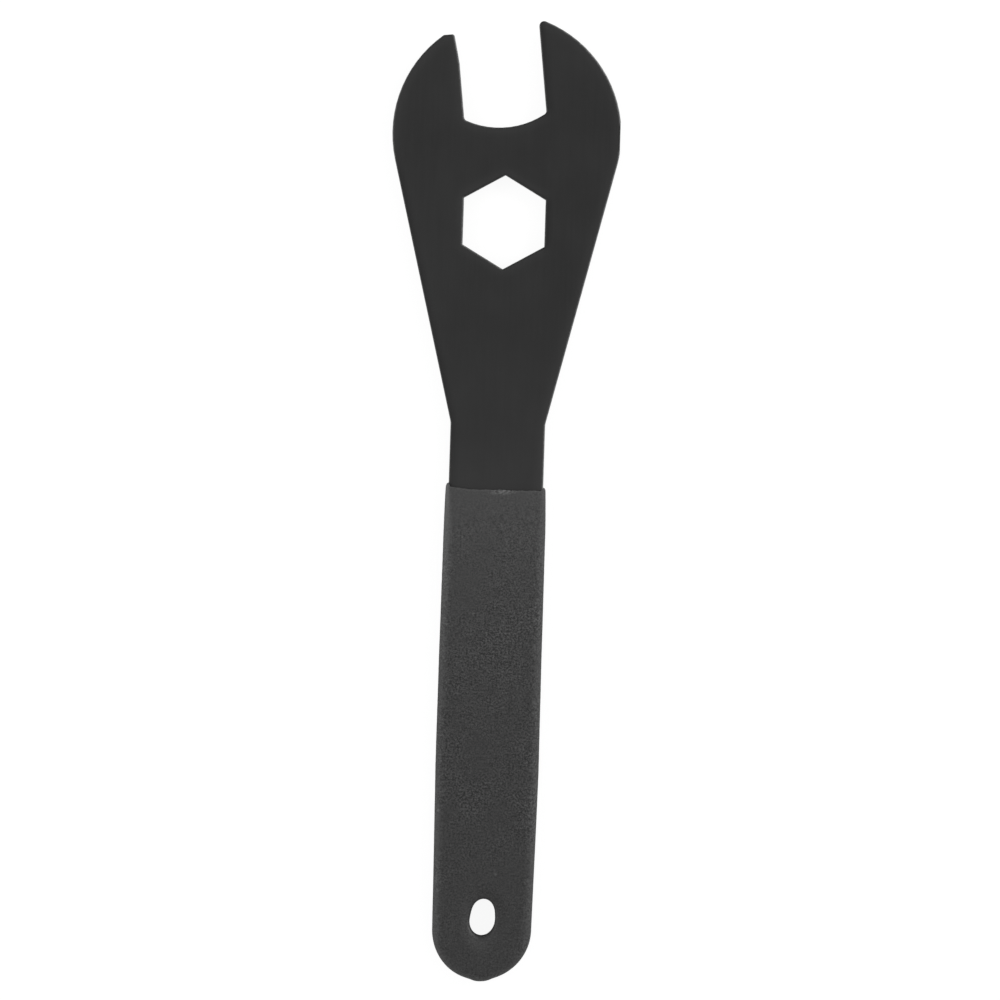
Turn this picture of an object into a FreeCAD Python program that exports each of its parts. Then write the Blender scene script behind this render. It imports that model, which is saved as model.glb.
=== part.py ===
import FreeCAD, Part
import math
import os

import Sketcher
from FreeCAD import Vector

# Cone wrench for 17 mm flats: a flat stamped blade and the dipped grip on its handle.
# X runs across the blade, Y along the handle to the jaw, Z up from the surface it lies on.
# The origin is on that surface, on the handle's centreline, half way along the wrench.

DRIVING_SIZES = {
    # Plate
    "blade_thickness": 2.0,
    "edge_break": 0.18,
    # Handle of the blade, from the waist down to the rounded end of the tang
    "shank_width": 19.7,
    "waist_height": 16.24,
    "waist_round": 4.0,
    "tang_narrowing_start": 56.0,
    "tang_end_below_origin": 98.52,
    "tang_end_radius": 9.42,
    # Head: two equal arcs whose centres lie a little past the centreline
    "head_center_height": 76.5,
    "head_radius": 25.3,
    "head_crossing": 1.45,
    "side_flat_depth": 0.23,
    # Open jaw, measured along its own leaning centreline from the centre of the head
    "nominal_flats": 17.0,
    "jaw_clearance": 0.2,
    "jaw_lean": 6.5,
    "throat_height": 1.4,
    "throat_radius": 17.1,
    "throat_corner_round": 0.95,
    "lead_in_height": 6.04,
    "lead_in_angle": 5.5,
    "lead_in_round": 0.55,
    "short_tip_setback": 3.66,
    "short_tip_round": 0.6,
    "long_tip_round": 1.0,
    # Closed hexagon
    "hexagon_clearance": 0.05,
    "hexagon_below_head": 18.33,
    "hexagon_corner_round": 0.15,
    # Dipped coat: its thickness on the faces and sides of the tang, and at its lip
    "lip_height": 2.4,
    "coat_on_faces": 1.0,
    "coat_on_sides": 0.83,
    "coat_below_lip": 0.67,
    "coat_at_lip": 0.45,
    "lip_run_on_sides": 8.0,
    "lip_run_on_faces": 14.0,
    "lip_round": 0.35,
    "coat_edge_round": 1.4,
    "drip_crossing": 0.62,
    "drip_round": 3.0,
    # Hang hole through the coat, which lines the larger hole in the tang
    "hang_hole_width": 5.32,
    "hang_hole_length": 7.76,
    "hang_hole_lean": 5.8,
    "hang_hole_above_end": 11.74,
    "hang_hole_lining": 0.6,
    "hang_hole_round": 0.7,
}

# Which point of a line or arc a constraint takes
START, END, CENTER = 1, 2, 3
ORIGIN = (-1, START)
Y_AXIS = -2


def make_sheet(document):
    """Put the driving sizes, and the sizes that follow from several of them, in a sheet."""
    sheet = document.addObject("Spreadsheet::Sheet", "sizes")
    derived = {
        "jaw_width": "=nominal_flats + jaw_clearance",
        "short_tip_height": "=head_radius - short_tip_setback",
        "lead_in_start": "=head_radius - short_tip_setback - lead_in_height",
        "hexagon_flats": "=nominal_flats + hexagon_clearance",
        "hexagon_height": "=head_center_height - hexagon_below_head",
        "tang_end_center_depth": "=tang_end_below_origin - tang_end_radius",
        "hang_hole_depth": "=tang_end_below_origin - hang_hole_above_end",
        "grip_thickness": "=blade_thickness + 2 * coat_on_faces",
        "grip_mid_height": "=coat_on_faces + blade_thickness / 2",
        "lip_thickness": "=blade_thickness + 2 * coat_at_lip",
    }
    rows = {name: str(size) for name, size in DRIVING_SIZES.items()}
    rows.update(derived)
    for row, (name, cell) in enumerate(rows.items(), start=1):
        sheet.set("A%d" % row, name)
        sheet.set("B%d" % row, cell)
        sheet.setAlias("B%d" % row, name)
    document.recompute()
    return sheet


def polar(center, radius, angle):
    """The point on a circle at an angle in degrees, counted from +X."""
    turn = math.radians(angle)
    return center + Vector(radius * math.cos(turn), radius * math.sin(turn), 0)


def mirrored(point):
    """The same point on the other side of the handle's centreline."""
    return Vector(-point.x, point.y, 0)


def add_sketch(body, name, role="XY_Plane"):
    plane = next(item for item in body.Origin.OriginFeatures if item.Role == role)
    sketch = body.newObject("Sketcher::SketchObject", name)
    sketch.AttachmentSupport = [(plane, "")]
    sketch.MapMode = "FlatFace"
    return sketch


def add_line(sketch, first, second):
    return sketch.addGeometry(Part.LineSegment(first, second), False)


def add_arc(sketch, center, radius, start_angle, end_angle):
    """Add an arc that runs counter-clockwise between two angles in degrees."""
    circle = Part.Circle(center, Vector(0, 0, 1), radius)
    arc = Part.ArcOfCircle(circle, math.radians(start_angle), math.radians(end_angle))
    return sketch.addGeometry(arc, False)


def constrain(sketch, *parts):
    return sketch.addConstraint(Sketcher.Constraint(*parts))


def dimension(sketch, name, expression, kind, *parts):
    """Add a named dimension whose value comes from the sheet, an angle's in degrees."""
    start = float(sketch.evalExpression(expression))
    if kind == "Angle":
        start = math.radians(start)
    index = constrain(sketch, kind, *parts, start)
    sketch.renameConstraint(index, name)
    sketch.setExpression("Constraints." + name, expression)


def join(sketch, first, second, kind="Coincident"):
    """Join two pieces of an outline at their nearest ends, smoothly where kind is Tangent."""
    gaps = []
    for one in (START, END):
        for other in (START, END):
            gap = sketch.getPoint(first, one).distanceToPoint(sketch.getPoint(second, other))
            gaps.append((gap, one, other))
    _, one, other = min(gaps)
    constrain(sketch, kind, first, one, second, other)


def check_sketch(sketch):
    if sketch.solve() != 0 or not sketch.FullyConstrained:
        raise RuntimeError("sketch %s isn't fully constrained" % sketch.Name)


def cut_through(body, name, sketch):
    """Cut a sketch's area right through the body, and make sure that it took material away."""
    before = body.Shape.Volume
    pocket = body.newObject("PartDesign::Pocket", name)
    pocket.Profile = sketch
    pocket.Type = "ThroughAll"
    pocket.Midplane = True
    body.Document.recompute()
    if not pocket.Shape.Volume < before - 1e-3:
        raise RuntimeError("%s cuts nothing" % name)


def dress_edges(body, kind, name, wanted, size, expression):
    """Round or chamfer the edges of the body's latest feature that the wanted function picks."""
    base = body.Tip
    numbers = [number for number, edge in enumerate(base.Shape.Edges, start=1) if wanted(edge)]
    if not numbers:
        raise RuntimeError("%s finds no edge" % name)
    dressing = body.newObject(kind, name)
    dressing.Base = (base, ["Edge%d" % number for number in numbers])
    dressing.setExpression(size, expression)
    body.Document.recompute()


def round_edges(body, name, wanted, expression):
    dress_edges(body, "PartDesign::Fillet", name, wanted, "Radius", expression)


def chamfer_edges(body, name, wanted, expression):
    dress_edges(body, "PartDesign::Chamfer", name, wanted, "Size", expression)


def is_upright(edge):
    """True for a straight edge that runs along Z."""
    first = edge.Vertexes[0].Point
    last = edge.Vertexes[-1].Point
    across = math.hypot(first.x - last.x, first.y - last.y)
    return len(edge.Vertexes) == 2 and across < 1e-4 and abs(first.z - last.z) > 1e-4


def middle(edge):
    """The point half way along an edge."""
    return edge.valueAt((edge.FirstParameter + edge.LastParameter) / 2)


def draw_blade_outline(sketch, sheet):
    """Draw the blade from above: tang end, handle, taper and the two arcs of the head."""
    half = sheet.shank_width / 2
    head = Vector(0, sheet.head_center_height, 0)
    crossing = Vector(sheet.head_crossing, 0, 0)
    apex_angle = math.degrees(math.acos(sheet.head_crossing / sheet.head_radius))
    end_center = Vector(0, -sheet.tang_end_center_depth, 0)
    narrowing = Vector(half, -sheet.tang_narrowing_start, 0)
    waist = Vector(half, sheet.waist_height, 0)
    reach = head - crossing - waist
    tangent_turn = math.acos(sheet.head_radius / reach.Length)
    taper = math.degrees(math.atan2(reach.y, -reach.x) - tangent_turn)
    shoulder = polar(head - crossing, sheet.head_radius, -taper)
    tang_side = polar(end_center, sheet.tang_end_radius, 0)

    end_round = add_arc(sketch, end_center, sheet.tang_end_radius, 180, 360)
    right_narrowing = add_line(sketch, tang_side, narrowing)
    right_side = add_line(sketch, narrowing, waist)
    right_taper = add_line(sketch, waist, shoulder)
    right_arc = add_arc(sketch, head - crossing, sheet.head_radius, -taper, apex_angle)
    left_arc = add_arc(sketch, head + crossing, sheet.head_radius, 180 - apex_angle, 180 + taper)
    left_taper = add_line(sketch, mirrored(shoulder), mirrored(waist))
    left_side = add_line(sketch, mirrored(waist), mirrored(narrowing))
    left_narrowing = add_line(sketch, mirrored(narrowing), mirrored(tang_side))

    join(sketch, end_round, right_narrowing, "Tangent")
    join(sketch, right_narrowing, right_side)
    join(sketch, right_side, right_taper)
    join(sketch, right_taper, right_arc, "Tangent")
    join(sketch, right_arc, left_arc)
    join(sketch, left_arc, left_taper, "Tangent")
    join(sketch, left_taper, left_side)
    join(sketch, left_side, left_narrowing)
    join(sketch, left_narrowing, end_round, "Tangent")

    constrain(sketch, "PointOnObject", end_round, CENTER, Y_AXIS)
    constrain(sketch, "Symmetric", right_arc, CENTER, left_arc, CENTER, Y_AXIS)
    constrain(sketch, "Equal", right_arc, left_arc)
    constrain(sketch, "Symmetric", right_side, START, left_side, END, Y_AXIS)
    constrain(sketch, "Symmetric", right_side, END, left_side, START, Y_AXIS)
    constrain(sketch, "Vertical", right_side)

    dimension(sketch, "tang_end", "sizes.tang_end_radius", "Radius", end_round)
    dimension(sketch, "tang_center", "sizes.tang_end_center_depth", "DistanceY", end_round, CENTER, *ORIGIN)
    dimension(sketch, "half_width", "sizes.shank_width / 2", "DistanceX", *ORIGIN, right_side, START)
    dimension(sketch, "narrowing", "sizes.tang_narrowing_start", "DistanceY", right_side, START, *ORIGIN)
    dimension(sketch, "head", "sizes.head_radius", "Radius", right_arc)
    dimension(sketch, "head_height", "sizes.head_center_height", "DistanceY", *ORIGIN, right_arc, CENTER)
    dimension(sketch, "crossing", "sizes.head_crossing", "DistanceX", right_arc, CENTER, *ORIGIN)
    dimension(sketch, "waist", "sizes.waist_height", "DistanceY", *ORIGIN, right_side, END)
    check_sketch(sketch)


def draw_jaw(sketch, sheet):
    """Draw what the jaw takes away, in its own frame: X across its gap, Y along its centreline."""
    half = sheet.jaw_width / 2
    throat_center = Vector(0, sheet.throat_height + sheet.throat_radius, 0)
    corner = sheet.throat_corner_round
    corner_reach = sheet.throat_radius - corner
    corner_x = half - corner
    corner_y = throat_center.y - math.sqrt(corner_reach ** 2 - corner_x ** 2)
    throat_turn = math.degrees(math.asin(corner_x / corner_reach))
    outside = 2 * sheet.head_radius
    lead_in_out = half + sheet.lead_in_height * math.tan(math.radians(sheet.lead_in_angle))
    right_corner = Vector(corner_x, corner_y, 0)
    left_corner = Vector(-corner_x, corner_y, 0)

    right_face = add_line(sketch, Vector(half, outside, 0), Vector(half, corner_y, 0))
    right_round = add_arc(sketch, right_corner, corner, 270 + throat_turn, 360)
    throat = add_arc(sketch, throat_center, sheet.throat_radius, 270 - throat_turn, 270 + throat_turn)
    left_round = add_arc(sketch, left_corner, corner, 180, 270 - throat_turn)
    left_face = add_line(sketch, Vector(-half, corner_y, 0), Vector(-half, sheet.lead_in_start, 0))
    lead_in_end = Vector(-lead_in_out, sheet.short_tip_height, 0)
    lead_in = add_line(sketch, Vector(-half, sheet.lead_in_start, 0), lead_in_end)
    tip_end = Vector(-outside, sheet.short_tip_height, 0)
    tip_top = add_line(sketch, lead_in_end, tip_end)
    left_limit = add_line(sketch, tip_end, Vector(-outside, outside, 0))
    top_limit = add_line(sketch, Vector(-outside, outside, 0), Vector(half, outside, 0))

    join(sketch, right_face, right_round, "Tangent")
    join(sketch, right_round, throat, "Tangent")
    join(sketch, throat, left_round, "Tangent")
    join(sketch, left_round, left_face, "Tangent")
    join(sketch, left_face, lead_in)
    join(sketch, lead_in, tip_top)
    join(sketch, tip_top, left_limit)
    join(sketch, left_limit, top_limit)
    join(sketch, top_limit, right_face)

    for upright in (right_face, left_face, left_limit):
        constrain(sketch, "Vertical", upright)
    for level in (tip_top, top_limit):
        constrain(sketch, "Horizontal", level)
    constrain(sketch, "Equal", left_round, right_round)
    constrain(sketch, "PointOnObject", throat, CENTER, Y_AXIS)

    dimension(sketch, "right_half", "sizes.jaw_width / 2", "DistanceX", *ORIGIN, right_face, END)
    dimension(sketch, "left_half", "sizes.jaw_width / 2", "DistanceX", left_face, END, *ORIGIN)
    dimension(sketch, "corner", "sizes.throat_corner_round", "Radius", right_round)
    dimension(sketch, "throat_arc", "sizes.throat_radius", "Radius", throat)
    throat_level = "sizes.throat_height + sizes.throat_radius"
    dimension(sketch, "throat_level", throat_level, "DistanceY", *ORIGIN, throat, CENTER)
    dimension(sketch, "lead_in_level", "sizes.lead_in_start", "DistanceY", *ORIGIN, left_face, END)
    dimension(sketch, "tip_level", "sizes.short_tip_height", "DistanceY", *ORIGIN, tip_top, START)
    dimension(sketch, "lead_in", "sizes.lead_in_angle * 1 deg", "Angle", left_face, lead_in)
    dimension(sketch, "left_edge", "2 * sizes.head_radius", "DistanceX", left_limit, START, *ORIGIN)
    dimension(sketch, "top_edge", "2 * sizes.head_radius", "DistanceY", *ORIGIN, top_limit, START)
    check_sketch(sketch)


def draw_rectangle(sketch, low, high):
    """Draw a rectangle between two corners, and give its bottom, right, top and left side."""
    corners = [low, Vector(high.x, low.y, 0), high, Vector(low.x, high.y, 0)]
    sides = [add_line(sketch, corners[i], corners[(i + 1) % 4]) for i in range(4)]
    for i in range(4):
        join(sketch, sides[i], sides[(i + 1) % 4])
    for level in (sides[0], sides[2]):
        constrain(sketch, "Horizontal", level)
    for upright in (sides[1], sides[3]):
        constrain(sketch, "Vertical", upright)
    return sides


def draw_side_flat(sketch, sheet):
    """Draw what the small flat takes off the right side of the head, level with its centre."""
    half_height = sheet.head_radius / 4
    inner_x = sheet.head_radius - sheet.head_crossing - sheet.side_flat_depth
    low = Vector(inner_x, sheet.head_center_height - half_height, 0)
    high = Vector(sheet.head_radius, sheet.head_center_height + half_height, 0)
    bottom, right, top, _ = draw_rectangle(sketch, low, high)
    inner = "sizes.head_radius - sizes.head_crossing - sizes.side_flat_depth"
    lower = "sizes.head_center_height - sizes.head_radius / 4"
    upper = "sizes.head_center_height + sizes.head_radius / 4"
    dimension(sketch, "inner", inner, "DistanceX", *ORIGIN, bottom, START)
    dimension(sketch, "outer", "sizes.head_radius", "DistanceX", *ORIGIN, right, START)
    dimension(sketch, "lower", lower, "DistanceY", *ORIGIN, bottom, START)
    dimension(sketch, "upper", upper, "DistanceY", *ORIGIN, top, START)
    check_sketch(sketch)


def draw_hexagon(sketch, sheet):
    """Draw a regular hexagon with two flats parallel to the handle."""
    center = Vector(0, sheet.hexagon_height, 0)
    radius = sheet.hexagon_flats / math.sqrt(3)
    points = [polar(center, radius, 30 + 60 * i) for i in range(6)]
    sides = [add_line(sketch, points[i], points[(i + 1) % 6]) for i in range(6)]
    circle = sketch.addGeometry(Part.Circle(center, Vector(0, 0, 1), radius), True)
    for i in range(6):
        join(sketch, sides[i], sides[(i + 1) % 6])
        constrain(sketch, "PointOnObject", sides[i], START, circle)
    for side in sides[1:]:
        constrain(sketch, "Equal", sides[0], side)
    constrain(sketch, "PointOnObject", circle, CENTER, Y_AXIS)
    constrain(sketch, "Vertical", sides[2])
    dimension(sketch, "flats", "sizes.hexagon_flats", "DistanceX", sides[2], START, sides[5], START)
    dimension(sketch, "height", "sizes.hexagon_height", "DistanceY", *ORIGIN, circle, CENTER)
    check_sketch(sketch)


def draw_tang_hole(sketch, sheet):
    """Draw the slotted hole in the tang, larger all round than the hang hole by the lining."""
    radius = sheet.hang_hole_width / 2 + sheet.hang_hole_lining
    reach = (sheet.hang_hole_length - sheet.hang_hole_width) / 2
    upper = Vector(0, reach - sheet.hang_hole_depth, 0)
    lower = Vector(0, -reach - sheet.hang_hole_depth, 0)
    side = Vector(radius, 0, 0)
    top = add_arc(sketch, upper, radius, 0, 180)
    left = add_line(sketch, upper - side, lower - side)
    bottom = add_arc(sketch, lower, radius, 180, 360)
    right = add_line(sketch, lower + side, upper + side)
    for first, second in ((top, left), (left, bottom), (bottom, right), (right, top)):
        join(sketch, first, second, "Tangent")
    constrain(sketch, "PointOnObject", top, CENTER, Y_AXIS)
    constrain(sketch, "PointOnObject", bottom, CENTER, Y_AXIS)
    constrain(sketch, "Equal", top, bottom)
    half_length = "(sizes.hang_hole_length - sizes.hang_hole_width) / 2"
    above = "sizes.hang_hole_depth - " + half_length
    below = "sizes.hang_hole_depth + " + half_length
    dimension(sketch, "round", "sizes.hang_hole_width / 2 + sizes.hang_hole_lining", "Radius", top)
    dimension(sketch, "upper", above, "DistanceY", top, CENTER, *ORIGIN)
    dimension(sketch, "lower", below, "DistanceY", bottom, CENTER, *ORIGIN)
    check_sketch(sketch)


def make_blade(document, sheet):
    """Make the stamped blade: outline, jaw, hexagon and tang hole, with its edges broken."""
    body = document.addObject("PartDesign::Body", "blade")
    body.Label = "blade"

    outline = add_sketch(body, "blade_outline")
    outline.setExpression("AttachmentOffset.Base.z", "sizes.coat_on_faces * 1 mm")
    draw_blade_outline(outline, sheet)
    plate = body.newObject("PartDesign::Pad", "blade_plate")
    plate.Profile = outline
    plate.setExpression("Length", "sizes.blade_thickness")
    document.recompute()

    def at_waist(edge):
        place = middle(edge)
        on_side = abs(abs(place.x) - sheet.shank_width / 2) < 1e-3
        return is_upright(edge) and on_side and abs(place.y - sheet.waist_height) < 1e-3

    round_edges(body, "waist_rounds", at_waist, "sizes.waist_round")

    jaw = add_sketch(body, "jaw_outline")
    jaw.setExpression("AttachmentOffset.Base.y", "sizes.head_center_height * 1 mm")
    jaw.setExpression("AttachmentOffset.Rotation.Angle", "sizes.jaw_lean * 1 deg")
    draw_jaw(jaw, sheet)
    cut_through(body, "jaw_cut", jaw)
    round_jaw_tips(body, jaw.Placement)

    flat = add_sketch(body, "side_flat_outline")
    draw_side_flat(flat, sheet)
    cut_through(body, "side_flat", flat)

    hexagon = add_sketch(body, "hexagon_outline")
    draw_hexagon(hexagon, sheet)
    cut_through(body, "hexagon_hole", hexagon)

    def at_hexagon_corner(edge):
        place = middle(edge)
        gap = math.hypot(place.x, place.y - sheet.hexagon_height)
        return is_upright(edge) and abs(gap - sheet.hexagon_flats / math.sqrt(3)) < 1e-3

    round_edges(body, "hexagon_corners", at_hexagon_corner, "sizes.hexagon_corner_round")

    hole = add_sketch(body, "tang_hole_outline")
    draw_tang_hole(hole, sheet)
    cut_through(body, "tang_hole", hole)

    faces = (sheet.coat_on_faces, sheet.coat_on_faces + sheet.blade_thickness)

    def on_a_face(edge):
        heights = [edge.BoundBox.ZMin, edge.BoundBox.ZMax]
        return any(max(abs(height - face) for height in heights) < 1e-3 for face in faces)

    chamfer_edges(body, "broken_edges", on_a_face, "min(sizes.edge_break; sizes.blade_thickness / 3)")
    return body


def round_jaw_tips(body, jaw_frame):
    """Round the tips of the jaw: the long one on the right, the short one on the left."""

    def jaw_place(edge):
        return jaw_frame.inverse().multVec(middle(edge))

    def tips(sign):
        edges = [edge for edge in body.Tip.Shape.Edges if is_upright(edge)]
        places = [jaw_place(edge) for edge in edges]
        side = [place for place in places if place.x * sign > 0]
        return sorted(side, key=lambda place: place.y, reverse=True)

    def near(place):
        return lambda edge: is_upright(edge) and jaw_place(edge).distanceToPoint(place) < 1e-3

    long_tip = tips(1)[0]
    round_edges(body, "long_tip", near(long_tip), "sizes.long_tip_round")
    inner, outer = sorted(tips(-1)[:2], key=lambda place: place.x, reverse=True)
    round_edges(body, "short_tip_outer", near(outer), "sizes.short_tip_round")
    round_edges(body, "short_tip_inner", near(inner), "sizes.lead_in_round")


def draw_coat_side(sketch, sheet):
    """Draw the coat from the side: flat faces that thin to the lip in a shallow curve."""
    run_end = sheet.lip_height - sheet.lip_run_on_faces
    far_end = -sheet.tang_end_below_origin - sheet.tang_end_radius
    top = sheet.grip_thickness
    mid = sheet.grip_mid_height
    drop = sheet.coat_on_faces - sheet.coat_at_lip
    curve = (sheet.lip_run_on_faces ** 2 + drop ** 2) / (2 * drop)
    turn = math.degrees(math.asin(sheet.lip_run_on_faces / curve))
    lip_top = Vector(sheet.lip_height, mid + sheet.lip_thickness / 2, 0)
    lip_bottom = Vector(sheet.lip_height, mid - sheet.lip_thickness / 2, 0)

    lower = add_line(sketch, Vector(far_end, 0, 0), Vector(run_end, 0, 0))
    lower_curve = add_arc(sketch, Vector(run_end, curve, 0), curve, 270, 270 + turn)
    lip = add_line(sketch, lip_bottom, lip_top)
    upper_curve = add_arc(sketch, Vector(run_end, top - curve, 0), curve, 90 - turn, 90)
    upper = add_line(sketch, Vector(run_end, top, 0), Vector(far_end, top, 0))
    back = add_line(sketch, Vector(far_end, top, 0), Vector(far_end, 0, 0))

    join(sketch, lower, lower_curve, "Tangent")
    join(sketch, lower_curve, lip)
    join(sketch, lip, upper_curve)
    join(sketch, upper_curve, upper, "Tangent")
    join(sketch, upper, back)
    join(sketch, back, lower)
    constrain(sketch, "Horizontal", lower)
    constrain(sketch, "Horizontal", upper)
    constrain(sketch, "Vertical", lip)
    constrain(sketch, "Vertical", back)
    constrain(sketch, "PointOnObject", lower, START, -1)
    constrain(sketch, "Vertical", lower, END, upper, START)

    mid_level = "sizes.grip_mid_height - sizes.lip_thickness / 2"
    dimension(sketch, "thickness", "sizes.grip_thickness", "DistanceY", back, END, back, START)
    dimension(sketch, "lip_level", mid_level, "DistanceY", *ORIGIN, lip, START)
    dimension(sketch, "lip_thickness", "sizes.lip_thickness", "DistanceY", lip, START, lip, END)
    dimension(sketch, "lip_place", "sizes.lip_height", "DistanceX", *ORIGIN, lip, START)
    dimension(sketch, "run", "sizes.lip_run_on_faces", "DistanceX", lower, END, lip, START)
    far = "sizes.tang_end_below_origin + sizes.tang_end_radius"
    dimension(sketch, "far_end", far, "DistanceX", lower, START, *ORIGIN)
    check_sketch(sketch)


def draw_coat_plan(sketch, sheet):
    """Draw the coat from above, with its slight drip at the end, inside a frame to cut away."""
    half = sheet.shank_width / 2
    side = half + sheet.coat_on_sides
    run_end = sheet.lip_height - sheet.lip_run_on_sides
    end_center = Vector(0, -sheet.tang_end_center_depth, 0)
    crossing = Vector(sheet.drip_crossing, 0, 0)
    shoulder_radius = sheet.tang_end_radius + sheet.coat_on_sides + sheet.drip_crossing
    drip_reach = shoulder_radius - sheet.drip_round
    drip_center = end_center - Vector(0, math.sqrt(drip_reach ** 2 - sheet.drip_crossing ** 2), 0)
    drip_turn = math.degrees(math.asin(sheet.drip_crossing / drip_reach))
    corner = Vector(half + sheet.coat_at_lip, sheet.lip_height, 0)
    below_lip = Vector(half + sheet.coat_below_lip, run_end, 0)
    narrowing = Vector(side, -sheet.tang_narrowing_start, 0)
    shoulder = polar(end_center - crossing, shoulder_radius, 0)
    drop = sheet.coat_below_lip - sheet.coat_at_lip
    curve = (sheet.lip_run_on_sides ** 2 + drop ** 2) / (2 * drop)
    turn = math.degrees(math.asin(sheet.lip_run_on_sides / curve))

    curve_center = below_lip - Vector(curve, 0, 0)
    lip = add_line(sketch, corner, mirrored(corner))
    left_curve = add_arc(sketch, mirrored(curve_center), curve, 180 - turn, 180)
    left_upper = add_line(sketch, mirrored(below_lip), mirrored(narrowing))
    left_lower = add_line(sketch, mirrored(narrowing), mirrored(shoulder))
    left_shoulder = add_arc(sketch, end_center + crossing, shoulder_radius, 180, 270 - drip_turn)
    drip = add_arc(sketch, drip_center, sheet.drip_round, 270 - drip_turn, 270 + drip_turn)
    right_shoulder = add_arc(sketch, end_center - crossing, shoulder_radius, 270 + drip_turn, 360)
    right_lower = add_line(sketch, shoulder, narrowing)
    right_upper = add_line(sketch, narrowing, below_lip)
    right_curve = add_arc(sketch, curve_center, curve, 0, turn)

    join(sketch, lip, left_curve)
    join(sketch, left_curve, left_upper, "Tangent")
    join(sketch, left_upper, left_lower)
    join(sketch, left_lower, left_shoulder, "Tangent")
    join(sketch, left_shoulder, drip, "Tangent")
    join(sketch, drip, right_shoulder, "Tangent")
    join(sketch, right_shoulder, right_lower, "Tangent")
    join(sketch, right_lower, right_upper)
    join(sketch, right_upper, right_curve, "Tangent")
    join(sketch, right_curve, lip)

    constrain(sketch, "Symmetric", lip, START, lip, END, Y_AXIS)
    constrain(sketch, "Symmetric", left_upper, START, right_upper, END, Y_AXIS)
    constrain(sketch, "Symmetric", left_upper, END, right_upper, START, Y_AXIS)
    constrain(sketch, "Symmetric", left_shoulder, CENTER, right_shoulder, CENTER, Y_AXIS)
    constrain(sketch, "Equal", left_shoulder, right_shoulder)
    shoulder_size = "sizes.tang_end_radius + sizes.coat_on_sides + sizes.drip_crossing"
    half_lip = "sizes.shank_width / 2 + sizes.coat_at_lip"
    half_below = "sizes.shank_width / 2 + sizes.coat_below_lip"
    half_side = "sizes.shank_width / 2 + sizes.coat_on_sides"
    center_depth = "sizes.tang_end_center_depth"
    dimension(sketch, "shoulder_size", shoulder_size, "Radius", left_shoulder)
    dimension(sketch, "crossing", "sizes.drip_crossing", "DistanceX", right_shoulder, CENTER, *ORIGIN)
    dimension(sketch, "shoulder_depth", center_depth, "DistanceY", right_shoulder, CENTER, *ORIGIN)
    dimension(sketch, "drip_size", "sizes.drip_round", "Radius", drip)
    dimension(sketch, "lip_place", "sizes.lip_height", "DistanceY", *ORIGIN, lip, START)
    dimension(sketch, "half_lip", half_lip, "DistanceX", *ORIGIN, lip, START)
    dimension(sketch, "run", "sizes.lip_run_on_sides", "DistanceY", right_upper, END, lip, START)
    dimension(sketch, "half_below", half_below, "DistanceX", *ORIGIN, right_upper, END)
    dimension(sketch, "half_side", half_side, "DistanceX", *ORIGIN, right_upper, START)
    narrowing_start = "sizes.tang_narrowing_start"
    dimension(sketch, "narrowing", narrowing_start, "DistanceY", right_upper, START, *ORIGIN)
    draw_frame(sketch, sheet)
    check_sketch(sketch)


def draw_frame(sketch, sheet):
    """Draw a rectangle that stands clear of the grip on every side."""
    reach = sheet.shank_width
    low = Vector(-reach, -sheet.tang_end_below_origin - reach, 0)
    high = Vector(reach, sheet.lip_height + reach, 0)
    bottom, right, top, _ = draw_rectangle(sketch, low, high)
    below = "sizes.tang_end_below_origin + sizes.shank_width"
    above = "sizes.lip_height + sizes.shank_width"
    dimension(sketch, "frame_left", "sizes.shank_width", "DistanceX", bottom, START, *ORIGIN)
    dimension(sketch, "frame_right", "sizes.shank_width", "DistanceX", *ORIGIN, right, START)
    dimension(sketch, "frame_bottom", below, "DistanceY", bottom, START, *ORIGIN)
    dimension(sketch, "frame_top", above, "DistanceY", *ORIGIN, top, START)


def draw_hang_hole(sketch, sheet):
    """Draw the oval hang hole about the sketch's own origin, its long axis along Y."""
    tall = sheet.hang_hole_length / 2
    wide = sheet.hang_hole_width / 2
    oval = sketch.addGeometry(Part.Ellipse(Vector(0, tall, 0), Vector(wide, 0, 0), Vector(0, 0, 0)), False)
    sketch.exposeInternalGeometry(oval)
    long_axis = oval + 1
    short_axis = oval + 2
    constrain(sketch, "Coincident", oval, CENTER, *ORIGIN)
    constrain(sketch, "Vertical", long_axis)
    dimension(sketch, "length", "sizes.hang_hole_length", "Distance", long_axis)
    dimension(sketch, "width", "sizes.hang_hole_width", "Distance", short_axis)
    check_sketch(sketch)


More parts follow.
